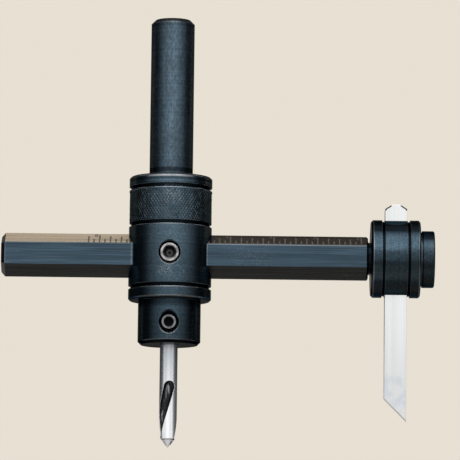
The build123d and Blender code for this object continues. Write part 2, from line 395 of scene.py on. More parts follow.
def bareShare(tree, look, place, axes, tone, unshadedShare):
    # how much bare steel shows, on rubbed edges, in marks and in scuffs, and how much painted highlight
    # shows, in highlight lines and where a rim looks upward
    edge = placeGroup(tree, rubbedEdges, {
        "Position": place, "Reach": look["edgeReach"], "Low": look["edgeLow"], "High": look["edgeHigh"],
        "Patchiness": look["patchiness"]})["Mask"]
    marks = placeGroup(tree, handlingMarks, {
        "Position": place, "Stretch": look["marks"],
        "Low": look["marksLow"], "High": look["marksHigh"]})["Mask"]
    edgeShare = look["edgeShare"]
    for share, spans in look["rubbed"]:
        edgeShare = plus(tree, edgeShare, times(tree, bandOf(tree, axes, spans), share))
    bare = larger(tree, times(tree, edge, edgeShare), times(tree, marks, look["marksShare"]))
    # scuffs, and painted highlight lines, as bare steel
    for share, spans in look["scuffsAndHighlights"]:
        patchy = ramp(tree, tone["Cloud"], 0.0, 1.0, share, share * look["scuffLeast"])
        bare = larger(tree, bare, times(tree, bandOf(tree, axes, spans), patchy))
    rise = splitAxes(tree, softened(tree, look["softRadius"]))["Z"]
    # painted highlight on rims that look upward; a whole face that looks up gets none
    trueNormal = addNode(tree, "ShaderNodeNewGeometry").outputs["True Normal"]
    rim = ramp(tree, splitAxes(tree, trueNormal)["Z"], *look["edgeHighlightFlat"], 1.0, 0.0)
    paintedHighlight = times(tree, ramp(tree, rise, *look["edgeHighlightRise"], 0.0, look["edgeHighlight"]), rim)
    return maths(tree, "ADD", bare, times(tree, paintedHighlight, unshadedShare), clamp=True)


def blackOxide(name, changes):
    look = {**oxideLook, **changes}
    material, tree, shader, place = startMaterial(name)
    axes = measure(tree, place)
    grain = grainOf(tree, place, look["grain"])
    tone = placeGroup(tree, oxideTone, {
        "Position": place, "Stretch": look["stretch"], "Blue": look["blue"], "Dull": look["dull"],
        "Cloud Scale": look["cloudScale"], "Speck Scale": look["speckScale"]})
    oxide, unshadedShare = oxideSkin(tree, look, place, axes, tone, grain)
    # bare steel where it is worn, plus the painted highlight on upward rims
    bare = bareShare(tree, look, place, axes, tone, unshadedShare)
    grainRoughness = times(tree, minus(tree, grain["Height"], 0.5), look["grainRoughness"])
    rough = plus(tree, ramp(tree, tone["Cloud"], 0.0, 1.0, *look["roughness"]), grainRoughness)
    fill(tree, shader.inputs["Base Color"], blendColours(tree, bare, oxide, look["bare"]))
    fill(tree, shader.inputs["Roughness"], rough)
    fill(tree, shader.inputs["Specular Tint"], (look["grazing"],) * 3)
    setBump(tree, shader, grain["Height"], look)
    return material


shankFront = ("Y", -7.0, -4.0, 0.5)
shankLook = {
    "blue": (0.098, 0.148, 0.190),
    "dull": (0.080, 0.118, 0.148),
    "stretch": (1, 1, 0.40),
    "cloudScale": 330.0,
    "fade": (20.0, 0.0, 0.86),
    "marks": (1500, 1500, 90),
    "marksLow": 0.62,
    "marksHigh": 0.78,
    "marksShare": 0.06,
    # painted shade on the end chamfer and at the foot against the body; the two other bands are darker as
    # well
    "shadeAndGrime": [
        (0.80, [("Z", 45.45, 50.0, 0.3)]),  # end chamfer
        (0.25, [("Z", 44.4, 45.2, 0.5)]),
        (0.68, [("Z", 1.2, 2.6, 0.5)]),
        (0.62, [("Z", -0.5, 0.8, 0.3)])],  # foot
    # painted highlights: a bright line along the front of the end chamfer and two thin streaks down the
    # front
    "scuffsAndHighlights": [
        (0.30, [("X", -3.1, 2.6, 1.2), shankFront, ("Z", 45.45, 45.85, 0.25)]),
        (0.12, [("X", 0.15, 0.45, 0.2), shankFront, ("Z", 16.7, 23.0, 1.5)]),
        (0.09, [("X", -0.65, -0.35, 0.2), shankFront, ("Z", 26.6, 32.0, 2.0)])],
    "nicks": [(0.10, 1500.0, [("X", -0.5, 1.0, 0.6), ("Z", 2.6, 16.0, 5.0)])],
}

bodySkin = ("R", 11.0, 13.0, 0.2)
bodyFront = ("Y", -13.0, -10.0, 1.0)
bodyLook = {
    "blue": (0.107, 0.172, 0.222),
    "dull": (0.087, 0.133, 0.168),
    "roughness": (0.19, 0.26),
    # painted highlight on the upward edges
    "edgeHighlight": 0.62,
    "fade": (0.0, -49.0, 0.43),
    "rubbed": [
        (0.15, [("Z", -36.6, -35.4, 0.4)]),
        (0.30, [("R", 9.0, 9.3, 0.1), ("Z", -49.0, -47.8, 0.4)])],
    # painted highlights, partly rubbed wear: a line on the front of the top rim, a ring under the lowest
    # groove, a line along the lower edge and one on the front of the boss near its foot
    "scuffsAndHighlights": [
        (0.85, [("X", -6.6, 6.6, 1.2), ("Y", -13.0, -8.0, 1.0), ("Z", -1.0, -0.5, 0.15)]),  # top rim
        (0.16, [("Z", -33.4, -33.0, 0.15)]),
        (0.36, [("X", -8.0, 8.0, 4.0), bodySkin, ("Z", -36.0, -35.6, 0.2)]),
        (0.20, [("X", -7.5, 7.0, 4.0), ("Y", -13.0, -5.0, 1.0), ("Z", -48.3, -47.95, 0.2)])],  # boss
    # painted shade: darker at the top rim and in the grooves, between the knurl's teeth, on the front left
    # and both sides, under the foot and on the boss's head, at the boss's foot and in the holes
    "shadeAndGrime": [
        (0.60, [("R", 10.0, 13.0, 0.2), ("Z", -0.42, 0.3, 0.1)]),
        (0.50, [bodySkin, ("Z", -1.75, -1.05, 0.3)]),
        (0.30, [bodySkin, ("Z", -3.0, -2.35, 0.4)]),
        (0.36, [("R", 11.0, 12.02, 0.08), ("Z", knurlLow, knurlHigh, 0.1)]),  # between the knurl's teeth
        (0.28, [("X", -10.5, -6.0, 2.0), ("Y", -13.0, -5.0, 1.0), ("Z", -36.0, -14.5, 1.0)]),
        (0.34, [("X", 9.4, 13.0, 1.4), bodySkin, ("Z", -36.0, -27.0, 3.0)]),
        (0.40, [("X", -13.0, -10.0, 1.0), bodySkin, ("Z", -36.0, -27.0, 3.0)]),
        (0.70, [("R", 9.3, 13.0, 0.2), ("Z", -37.0, -36.0, 0.2)]),  # foot
        (0.62, [("R", 8.0, 9.5, 0.2), ("Z", -38.4, -35.5, 2.2)]),  # head of the boss
        (0.80, [("Z", -50.0, -48.15, 0.3)]),  # foot of the boss
        (0.93, [("R", -1.0, 11.72, 0.2), ("Z", -34.0, -1.5, 0.5)]),  # grooves and holes
        (0.93, [("R", -1.0, 8.75, 0.2), ("Y", -20.0, -3.0, 0.5), ("Z", -47.0, -38.0, 0.5)])],
    "nicks": [
        (0.45, 3400.0, [("X", -1.6, 3.0, 1.6), bodyFront, ("Z", -8.6, -3.8, 2.2)]),
        (0.40, 3000.0, [("X", -3.6, 0.6, 1.2), bodyFront, ("Z", -29.6, -27.2, 1.0)])],
}

beamFront = ("Y", -6.0, -5.0, 0.2)
beamBrow = ("Y", -6.0, -4.8, 0.2)  # a little way up the graduated facet too
frontFacet = ("Z", -26.2, -20.0, 0.4)
leftHalf, rightHalf = ("X", -47.9, -10.0, 1.0), ("X", 10.0, 58.0, 1.0)
leftEnd = ("X", -50.0, -48.05, 0.2)
beamLook = {
    "blue": (0.052, 0.085, 0.114),
    "dull": (0.045, 0.072, 0.096),
    "grain": (40, 2600, 2600),
    "stretch": (0.02, 1, 1),
    "cloudScale": 1300.0,
    "speckScale": 3200.0,
    "marks": (200, 1400, 1400),
    "edgeReach": 0.40 * mm,
    "edgeLow": 0.05,
    "edgeHigh": 0.22,
    "edgeShare": 0.0,
    "patchiness": 0.35,
    "edgeHighlight": 0.0,
    "grazing": 1.0,
    # painted reflection: the graduated facet is tinted brown, as if mirroring brown surroundings
    "facet": ((0.056, 0.045, 0.035),
              [("X", -48.05, 57.6, 0.1), ("Y", -5.5, 0.2, 0.1), ("Z", -19.85, -16.0, 0.1)]),
    # painted highlights, partly rubbed wear: bright lines on the front facet where the body's hole ends and
    # at the left end, and along the edge below the graduated facet, brighter on the right half
    "scuffsAndHighlights": [
        # where the body's hole ends on both sides, and the left end
        (0.24, [("X", -11.35, -11.0, 0.25), beamFront, frontFacet]),
        (0.20, [("X", 10.65, 11.0, 0.25), beamFront, frontFacet]),
        (0.35, [("X", -48.2, -47.85, 0.2), beamFront, frontFacet]),
        # along the edge below the graduated facet
        (0.10, [leftHalf, beamFront, ("Z", -20.2, -19.9, 0.15)]),
        (0.32, [rightHalf, beamFront, ("Z", -20.15, -19.9, 0.15)]),
        (0.07, [leftHalf, beamBrow, ("Z", -19.9, -19.5, 0.15)]),
        (0.40, [rightHalf, beamBrow, ("Z", -19.9, -19.5, 0.15)])],
    "nicks": [(0.07, 2200.0, [("X", 17.0, 30.0, 8.0), beamFront, ("Z", -26.4, -20.4, 2.0)])],
    # painted shade on the spigot inside the collar, down the left end, in a line just under the front
    # facet's top edge and along the top ridge of the right half
    "shadeAndGrime": [
        (0.85, [("X", 57.65, 80.0, 0.1)]),  # the spigot
        (0.92, [leftEnd, ("Z", -29.0, -25.4, 0.6)]),
        (0.60, [leftEnd, ("Z", -20.6, -16.0, 0.4)]),
        (0.35, [leftHalf, beamFront, ("Z", -20.6, -20.2, 0.2)]),
        (0.75, [rightHalf, ("Z", -17.35, -15.0, 0.4)])],
}

collarLook = {
    "blue": (0.033, 0.053, 0.070),
    "dull": (0.029, 0.045, 0.059),
    "roughness": (0.19, 0.26),
    "grain": (6000, 0, 0),
    "marks": (260, 900, 900),
    "edgeHighlight": 0.0,
    "rubbed": [(0.8, [("X", 58.0, 59.7, 0.4)]), (0.8, [("X", 71.9, 73.2, 0.4)])],
    # painted highlight lines round both ends, partly rubbed wear
    "scuffsAndHighlights": [(0.22, [("X", 59.0, 59.35, 0.25)]), (0.22, [("X", 72.25, 72.6, 0.25)])],
    # painted reflection: the collar's top is tinted greyer
    "facet": ((0.033, 0.043, 0.050), [("Z", -15.2, -10.0, 1.6)]),
    # painted shade down in the grooves
    "shadeAndGrime": [(0.9, [("Q", -1.0, 11.1, 0.15)])],  # down in the grooves
}

washerLook = {
    "blue": (0.030, 0.046, 0.060),
    "grain": (6000, 0, 0),
    "edgeShare": 0.0,
    "edgeHighlight": 0.0,
}

clampScrewLook = {
    "blue": (0.034, 0.053, 0.070),
    "dull": (0.029, 0.045, 0.059),
    "grain": (6000, 0, 0),
    "marks": (260, 900, 900),
    "edgeHighlight": 0.0,
    # painted shade under the head
    "shadeAndGrime": [(0.85, [("X", 70.0, 73.75, 0.2)])],  # under the head
}


# ground steel, for the tool bit

bitLook = {
    "tone": (0.81, 0.82, 0.82),
    "shade": (0.75, 0.76, 0.765),
    "shadeLimits": (0.35, 0.7),
    "fade": (-30.0, -71.0, 0.80),
    "stain": (0.56, 0.60, 0.64),  # grey, cloudy patches above the cutting end
    "stained": [("Z", -67.5, -57.0, 6.0)],
    "stainScale": 330.0,
    "stainLimits": (0.42, 0.66),
    "slopeShade": (0.05, 0.042, 0.038),  # painted shade, dark along the edges of the crown's slopes
    "shadedSlopes": [("Z", -9.2, -7.0, 0.3)],
    "slopeShadeAside": (1.1 * mm, 1.6 * mm),  # from the bit's middle, where the slopes begin
    "edgeReach": 0.5 * mm,
    "edgeLow": 0.03,
    "edgeHigh": 0.12,
    "patchiness": 0.3,
    "roughness": (0.26, 0.36),
    "grain": (2600, 2600, 40),
    "grainDepth": 0.0008 * mm,
    "softRadius": 0.12 * mm,
}


def groundSteel(name, look):
    material, tree, shader, place = startMaterial(name)
    axes = measure(tree, place)
    grain = grainOf(tree, place, look["grain"])
    shade = ramp(tree, grain["Tone"], *look["shadeLimits"])
    steel = blendColours(tree, shade, look["tone"], look["shade"])
    steel = fadeDown(tree, axes, steel, look["fade"])
    clouds = ramp(tree, noise(tree, place, look["stainScale"], 4.0), *look["stainLimits"])
    stain = times(tree, clouds, bandOf(tree, axes, look["stained"]))
    steel = blendColours(tree, stain, steel, look["stain"])
    edge = placeGroup(tree, rubbedEdges, {
        "Position": place, "Reach": look["edgeReach"], "Low": look["edgeLow"], "High": look["edgeHigh"],
        "Patchiness": look["patchiness"]})["Mask"]
    aside = maths(tree, "ABSOLUTE", minus(tree, axes["X"], bitReach * mm))
    # painted shade on the edges along the crown's slopes
    slopes = times(tree, bandOf(tree, axes, look["shadedSlopes"]), ramp(tree, aside, *look["slopeShadeAside"]))
    shadedSlopes = times(tree, edge, slopes)
    fill(tree, shader.inputs["Base Color"], blendColours(tree, shadedSlopes, steel, look["slopeShade"]))
    fill(tree, shader.inputs["Roughness"], acrossNoise(tree, grain["Height"], *look["roughness"]))
    setBump(tree, shader, grain["Height"], look)
    return material


# bright steel, with flutes painted dark as shade and streaked with painted glints, for the pilot drill

drillLook = {
    "bright": (0.84, 0.85, 0.86),
    "shade": (0.54, 0.57, 0.595),
    "fade": (-66.0 * mm, -50.0 * mm),  # brighter towards the tip
    # painted shade in the flutes, streaked with painted glints
    "flute": (0.022, 0.023, 0.026),
    "fluteGlint": (0.26, 0.27, 0.28),
    "fluteRadius": (2.30 * mm, 2.48 * mm),
    "streaks": (1500, 1500, 170),
    "streakLimits": (0.50, 0.70),
    "tip": (-76.9 * mm, -76.5 * mm),  # the ground point is as bright as the lands
    "grazing": 0.3,
    "roughness": (0.30, 0.40),
    "grain": (0, 0, 7000),
    "grainDepth": 0.0008 * mm,
    "softRadius": 0.12 * mm,
}


def drillSteel(name, look):
    material, tree, shader, place = startMaterial(name)
    axes = measure(tree, place)
    grain = grainOf(tree, place, look["grain"])
    metal = blendColours(tree, ramp(tree, axes["Z"], *look["fade"]), look["bright"], look["shade"])
    # painted glints in streaks along the flutes, on flutes painted dark as shade
    streaks = noise(tree, vectorMaths(tree, "MULTIPLY", place, look["streaks"]), 1.0, 3.0)
    paintedGlints = ramp(tree, streaks, *look["streakLimits"])
    flute = blendColours(tree, paintedGlints, look["flute"], look["fluteGlint"])
    land = ramp(tree, axes["R"], *look["fluteRadius"])
    ground = larger(tree, land, ramp(tree, axes["Z"], *look["tip"], 1.0, 0.0))
    fill(tree, shader.inputs["Base Color"], blendColours(tree, ground, flute, metal))
    fill(tree, shader.inputs["Roughness"], acrossNoise(tree, grain["Height"], *look["roughness"]))
    fill(tree, shader.inputs["Specular Tint"], (look["grazing"],) * 3)
    setBump(tree, shader, grain["Height"], look)
    return material


# worn black steel, for the lock screws

lockScrewLook = {
    "faceEdge": (0.02, 0.08),  # depth behind the face where the rubbed part ends, in millimetres
    "faceShare": 0.06,  # how much of the rubbing reaches past the ring
    "ringSoft": 0.25,
    "patchScale": 700.0,
    "patchLimits": (0.35, 0.62),
    "patchLeast": 0.45,
    "lowerWall": (-2.0, -0.7),  # from the screw's axis
    "pointRing": (0.45, 0.95),  # painted highlight on the rim of the drilled point in the socket's floor
    "pointSoft": 0.3,
    "pointShare": 0.45,
    "roughness": (0.30, 0.42),
    "grain": (2500, 2500, 2500),
    "grainDepth": 0.002 * mm,
    "softRadius": 0.15 * mm,
}

beamLockLook = {
    **lockScrewLook,
    "faceY": -11.4,
    "drop": beamDrop,
    "ring": (2.02, 2.66),
    "face": (0.52, 0.51, 0.52),
    # black oxide, darkened further as painted shade in the socket; the glint is painted light
    "side": (0.010, 0.010, 0.011),
    "glint": (0.14, 0.135, 0.13),
}

pilotLockLook = {
    **lockScrewLook,
    "faceY": -8.05,
    "drop": pilotScrewDrop,
    "ring": (1.52, 2.6),
    "face": (0.24, 0.245, 0.255),
    # black oxide, darkened further as painted shade in the socket; the glint is painted light
    "side": (0.004, 0.004, 0.005),
    "glint": (0.006, 0.006, 0.007),
}


def lockScrewSteel(name, look):
    # bright where keys and fingers have rubbed the face; black oxide down the sides, with painted shade in
    # the socket
    material, tree, shader, place = startMaterial(name)
    axes = splitAxes(tree, place)
    grain = grainOf(tree, place, look["grain"])
    away = axisDistance(tree, place, (0, 0, look["drop"] * mm), (1, 0, 1))

    def ringOf(limits, soft):
        return placeGroup(tree, bandMask, {
            "Value": away, "Low": limits[0] * mm, "High": limits[1] * mm, "Soft": soft * mm})["Mask"]

    start, end = ((look["faceY"] + depth) * mm for depth in look["faceEdge"])
    face = ramp(tree, axes["Y"], start, end, 1.0, 0.0)
    rubbed = ramp(tree, ringOf(look["ring"], look["ringSoft"]), 0.0, 1.0, look["faceShare"], 1.0)
    patches = noise(tree, place, look["patchScale"], 2.0)
    patchy = ramp(tree, patches, *look["patchLimits"], look["patchLeast"], 1.0)
    worn = times(tree, times(tree, face, rubbed), patchy)
    # painted light on the lower wall of the socket and on the rim of the drilled point in its floor
    bottom, top = ((height - look["drop"]) * mm for height in look["lowerWall"])
    lower = ramp(tree, axes["Z"], bottom, top, 1.0, 0.0)
    point = times(tree, ringOf(look["pointRing"], look["pointSoft"]), look["pointShare"])
    paintedSocketLight = larger(tree, lower, point)
    socket = blendColours(tree, paintedSocketLight, look["side"], look["glint"])
    fill(tree, shader.inputs["Base Color"], blendColours(tree, worn, socket, look["face"]))
    fill(tree, shader.inputs["Roughness"], acrossNoise(tree, grain["Height"], *look["roughness"]))
    setBump(tree, shader, grain["Height"], look)
    return material


def dress(name, material):
    mesh = nodes[name].data
    mesh.materials.clear()
    mesh.materials.append(material)


dress("shank", blackOxide("shankOxide", shankLook))
dress("body", blackOxide("bodyOxide", bodyLook))
dress("beam", blackOxide("beamOxide", beamLook))
dress("tool_collar", blackOxide("collarOxide", collarLook))
dress("clamp_washer", blackOxide("washerOxide", washerLook))
dress("clamp_screw", blackOxide("screwOxide", clampScrewLook))
dress("tool_bit", groundSteel("bitSteel", bitLook))
dress("pilot_drill", drillSteel("drillSteel", drillLook))
dress("beam_lock_screw", lockScrewSteel("beamLockSteel", beamLockLook))
dress("pilot_lock_screw", lockScrewSteel("pilotLockSteel", pilotLockLook))
print("finishes set")


# geometry node helpers

def evaluatedMesh(thing):
    # the object's finished mesh; the object itself is removed
    bpy.context.view_layer.update()
    depsgraph = bpy.context.evaluated_depsgraph_get()
    mesh = bpy.data.meshes.new_from_object(thing.evaluated_get(depsgraph), depsgraph=depsgraph)
    bpy.data.objects.remove(thing)
    return mesh


def bakeTree(name, tree, values):
    # runs a geometry tree once and keeps the result as a plain mesh
    carrier = addObject(name + "Carrier", bpy.data.meshes.new(name + "Carrier"))
    modifier = carrier.modifiers.new("build", "NODES")
    modifier.node_group = tree
    for item in tree.interface.items_tree:
        if item.item_type == "SOCKET" and item.in_out == "INPUT" and item.name in values:
            modifier[item.identifier] = values[item.name]
    mesh = evaluatedMesh(carrier)
    mesh.name = name
    return addObject(name, mesh)


def newGeometryTree(name, settings):
    # one input for each setting, whole numbers as integers, and one for the material
    inputs = [(label, "Int" if isinstance(value, int) else "Float", value)
              for label, value in settings.items()]
    inputs.append(("Material", "Material", None))
    return newGroup(name, inputs, [("Geometry", "Geometry")], "GeometryNodeTree")


def endTree(tree, geometry, given, result):
    values = {"Geometry": geometry, "Material": given["Material"]}
    tree.links.new(addNode(tree, "GeometryNodeSetMaterial", values).outputs[0], result["Geometry"])


# knurled band on the body

knurlSettings = {
    "Teeth Round": 84,
    "Core Radius": 11.95 * mm,
    "Crest Height": 0.07 * mm,
    "Lowest Tooth": 0.30,  # worn teeth are lower, down to this share
    "Sink": 0.024 * mm,
    "Band Low": knurlLow * mm,
    "Band High": knurlHigh * mm,
    "Tooth Height": 1.35 * mm,
    "Crest Share": 0.30,
    "Foot Share": 0.98,
    "Overhang": 0.42,  # a row is dropped when its middle lies further out than this share of a tooth
    "Seed": 7,
}


def makeKnurlTree(settings):
    tree, given, result = newGeometryTree("diamondKnurl", settings)
    height = given["Tooth Height"]
    width = maths(tree, "DIVIDE", times(tree, given["Core Radius"], 2 * math.pi), given["Teeth Round"])
    half = times(tree, minus(tree, given["Band High"], given["Band Low"]), 0.5)

    # two grids of points, one between the other's
    rows = plus(tree, times(tree, maths(tree, "CEIL", maths(tree, "DIVIDE", half, height)), 2.0), 1.0)
    grid = addNode(tree, "GeometryNodeMeshGrid", {
        "Size X": times(tree, width, minus(tree, given["Teeth Round"], 1.0)),
        "Size Y": times(tree, height, minus(tree, rows, 1.0)),
        "Vertices X": given["Teeth Round"], "Vertices Y": rows}).outputs["Mesh"]
    halfWidth, halfHeight = times(tree, width, 0.5), times(tree, height, 0.5)
    between = addNode(tree, "GeometryNodeSetPosition", {
        "Geometry": grid, "Offset": joinAxes(tree, halfWidth, halfHeight, 0.0)}).outputs[0]
    both = addNode(tree, "GeometryNodeJoinGeometry")
    for points in (grid, between):
        tree.links.new(points, both.inputs[0])
    place = splitAxes(tree, addNode(tree, "GeometryNodeInputPosition").outputs[0])
    limit = plus(tree, half, times(tree, height, given["Overhang"]))
    past = addNode(tree, "FunctionNodeCompare", {0: maths(tree, "ABSOLUTE", place["Y"]), 1: limit},
                   data_type="FLOAT", operation="GREATER_THAN").outputs[0]
    points = addNode(tree, "GeometryNodeDeleteGeometry", {"Geometry": both.outputs[0], "Selection": past},
                     domain="POINT").outputs[0]

    # a four-sided tooth on each, worn to its own height
    tooth = addNode(tree, "GeometryNodeMeshCone", {
        "Vertices": 4, "Radius Top": given["Crest Share"], "Radius Bottom": given["Foot Share"],
        "Depth": plus(tree, given["Crest Height"], given["Sink"])}, fill_type="NGON").outputs["Mesh"]
    wear = addNode(tree, "FunctionNodeRandomValue", {
        2: given["Lowest Tooth"], 3: 1.0, "Seed": given["Seed"]}, data_type="FLOAT").outputs[1]
    teeth = addNode(tree, "GeometryNodeInstanceOnPoints", {
        "Points": points, "Instance": tooth,
        "Scale": joinAxes(tree, halfWidth, halfHeight, wear)}).outputs[0]
    real = addNode(tree, "GeometryNodeRealizeInstances", {"Geometry": teeth}).outputs[0]

    # the flat sheet of teeth is cut at the band's edges and wrapped round the body
    level = maths(tree, "MINIMUM", larger(tree, place["Y"], times(tree, half, -1.0)), half)
    middle = times(tree, plus(tree, given["Band High"], given["Band Low"]), 0.5)
    angle = maths(tree, "DIVIDE", place["X"], given["Core Radius"])
    radius = minus(tree, plus(tree, given["Core Radius"], place["Z"]), given["Sink"])
    wrapped = joinAxes(tree, times(tree, radius, maths(tree, "SINE", angle)),
                       times(tree, times(tree, radius, maths(tree, "COSINE", angle)), -1.0),
                       plus(tree, middle, level))
    bent = addNode(tree, "GeometryNodeSetPosition", {"Geometry": real, "Position": wrapped}).outputs[0]
    endTree(tree, bent, given, result)
    return tree


knurlLook = {
    "blue": (0.062, 0.103, 0.131),
    "dull": (0.022, 0.037, 0.047),
    "stretch": (1, 1, 0.45),
    "cloudScale": 450.0,
    "edgeHighlight": 0.0,
    "fade": bodyLook["fade"],
    "nicks": bodyLook["nicks"][:1],
    "nickTone": (0.24, 0.28, 0.31),
    "edgeReach": 0.12 * mm,
    "edgeLow": 0.10,
    "edgeHigh": 0.55,
    "edgeShare": 0.06,
    "patchiness": 0.85,
    "marks": (420, 420, 180),
    "marksLow": 0.62,
    "marksHigh": 0.74,
    "marksShare": 0.03,
    "softRadius": 0.10 * mm,
}
knurlOxide = blackOxide("knurlOxide", knurlLook)
knurlTree = makeKnurlTree(knurlSettings)
knurlBand = bakeTree("knurl_band", knurlTree, {**knurlSettings, "Material": knurlOxide})
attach(knurlBand, "spindle")
print("knurl made:", len(knurlBand.data.polygons), "faces")


# graduated facet of the beam

tickSettings = {
    "Tick Count": 51,
    "Pitch": 1.5875 * mm,
    "Ticks Per Number": 8,
    "Tick Width": 0.45 * mm,
    "Short": 2.6 * mm,
    "Middle": 4.6 * mm,
    "Long": 5.6 * mm,
    "Proud": 0.02 * mm,
    "Sink": 0.02 * mm,
}

numberSettings = {
    "first": 2,
    "last": 8,
    "letterSize": 2.565 * mm,
    "left": 0.35 * mm,  # from its tick to the number's right side
    "up": 5.1 * mm,  # from the facet's foot to the number's middle
    "curveSteps": 4,
}

facetSettings = {
    "firstTick": 55.7 * mm,  # where the body's side reads 2 inches of cut diameter
    "acrossFlats": 11.11 * mm,
    "width": 6.414 * mm,
    "slope": 60,  # degrees
}


def makeTickTree(settings):
    tree, given, result = newGeometryTree("beamTicks", settings)
    line = addNode(tree, "GeometryNodeMeshLine", {
        "Count": given["Tick Count"],
        "Offset": joinAxes(tree, times(tree, given["Pitch"], -1.0), 0.0, 0.0)}, mode="OFFSET").outputs[0]
    index = addNode(tree, "GeometryNodeInputIndex").outputs[0]

    def everyTick(count):
        return maths(tree, "COMPARE", maths(tree, "MODULO", index, count), 0.0, 0.1)

    # every second tick is longer, and one with a number is the longest
    length = plus(tree, given["Short"], plus(
        tree, times(tree, everyTick(2.0), minus(tree, given["Middle"], given["Short"])),
        times(tree, everyTick(given["Ticks Per Number"]), minus(tree, given["Long"], given["Middle"]))))
    thickness = plus(tree, given["Proud"], given["Sink"])
    lift = times(tree, minus(tree, given["Proud"], given["Sink"]), 0.5)
    points = addNode(tree, "GeometryNodeSetPosition", {
        "Geometry": line, "Offset": joinAxes(tree, 0.0, times(tree, length, 0.5), lift)}).outputs[0]
    bar = addNode(tree, "GeometryNodeMeshCube", {"Size": (1, 1, 1)}).outputs["Mesh"]
    ticks = addNode(tree, "GeometryNodeInstanceOnPoints", {
        "Points": points, "Instance": bar,
        "Scale": joinAxes(tree, given["Tick Width"], length, thickness)}).outputs[0]
    real = addNode(tree, "GeometryNodeRealizeInstances", {"Geometry": ticks}).outputs[0]
    endTree(tree, real, given, result)
    return tree


def facetMatrix(settings):
    # flat drawing to the upper front facet: x along the beam, y up the slope, z out of the metal
    slope = math.radians(settings["slope"])
    out = Vector((0, -math.cos(slope), math.sin(slope)))
    up = Vector((0, math.sin(slope), math.cos(slope)))
    foot = Vector((settings["firstTick"], 0, -beamDrop * mm)) + out * settings["acrossFlats"] / 2
    foot -= up * settings["width"] / 2
    turn = Matrix(((1, up.x, out.x), (0, up.y, out.y), (0, up.z, out.z))).to_4x4()
    return Matrix.Translation(foot) @ turn


markLook = {
    "dirt": (0.115, 0.108, 0.098),
    "deepDirt": (0.08, 0.076, 0.07),
    "sheen": 0.1,
    "roughness": (0.5, 0.65),
    "grain": (5000, 5000, 5000),
    "grainDepth": 0.002 * mm,
    "softRadius": 0.2 * mm,
}


def markSteel(name, look):
    # the stamped marks hold dull dirt, so they are dark where the facet shines and light where it doesn't
    material, tree, shader, place = startMaterial(name)
    grain = grainOf(tree, place, look["grain"])
    dirt = blendColours(tree, acrossNoise(tree, grain["Tone"], 0.0, 1.0), look["dirt"], look["deepDirt"])
    fill(tree, shader.inputs["Metallic"], 0.0)
    fill(tree, shader.inputs["Specular IOR Level"], look["sheen"])
    fill(tree, shader.inputs["Base Color"], dirt)
    fill(tree, shader.inputs["Roughness"], acrossNoise(tree, grain["Height"], *look["roughness"]))
    setBump(tree, shader, grain["Height"], look)
    return material


def makeNumbers(settings, ticks, material):
    # numbers for the cut's diameter in inches, one for each whole inch
    points, faces = [], []
    step = ticks["Ticks Per Number"] * ticks["Pitch"]
    for count, value in enumerate(range(settings["first"], settings["last"] + 1)):
        curve = bpy.data.curves.new("number", "FONT")
        curve.body = str(value)
        curve.size = settings["letterSize"]
        curve.align_x, curve.align_y = "RIGHT", "CENTER"
        curve.extrude = (ticks["Proud"] + ticks["Sink"]) / 2
        curve.resolution_u = settings["curveSteps"]
        mesh = evaluatedMesh(addObject("number", curve))
        shift = Vector((-count * step - settings["left"], settings["up"], 0))
        start = len(points)
        points += [vertex.co + shift for vertex in mesh.vertices]
        faces += [[start + corner for corner in face.vertices] for face in mesh.polygons]
        bpy.data.meshes.remove(mesh)
    joined = bpy.data.meshes.new("beam_numbers")
    joined.from_pydata(points, [], faces)
    joined.materials.append(material)
    return addObject("beam_numbers", joined)


stampedMark = markSteel("stampedMark", markLook)
tickTree = makeTickTree(tickSettings)
beamTicks = bakeTree("beam_ticks", tickTree, {**tickSettings, "Material": stampedMark})
beamNumbers = makeNumbers(numberSettings, tickSettings, stampedMark)
for piece in (beamTicks, beamNumbers):
    piece.data.transform(facetMatrix(facetSettings))
    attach(piece, "beam")
print("scale made:", len(beamTicks.data.polygons), "and", len(beamNumbers.data.polygons), "faces")


# studio

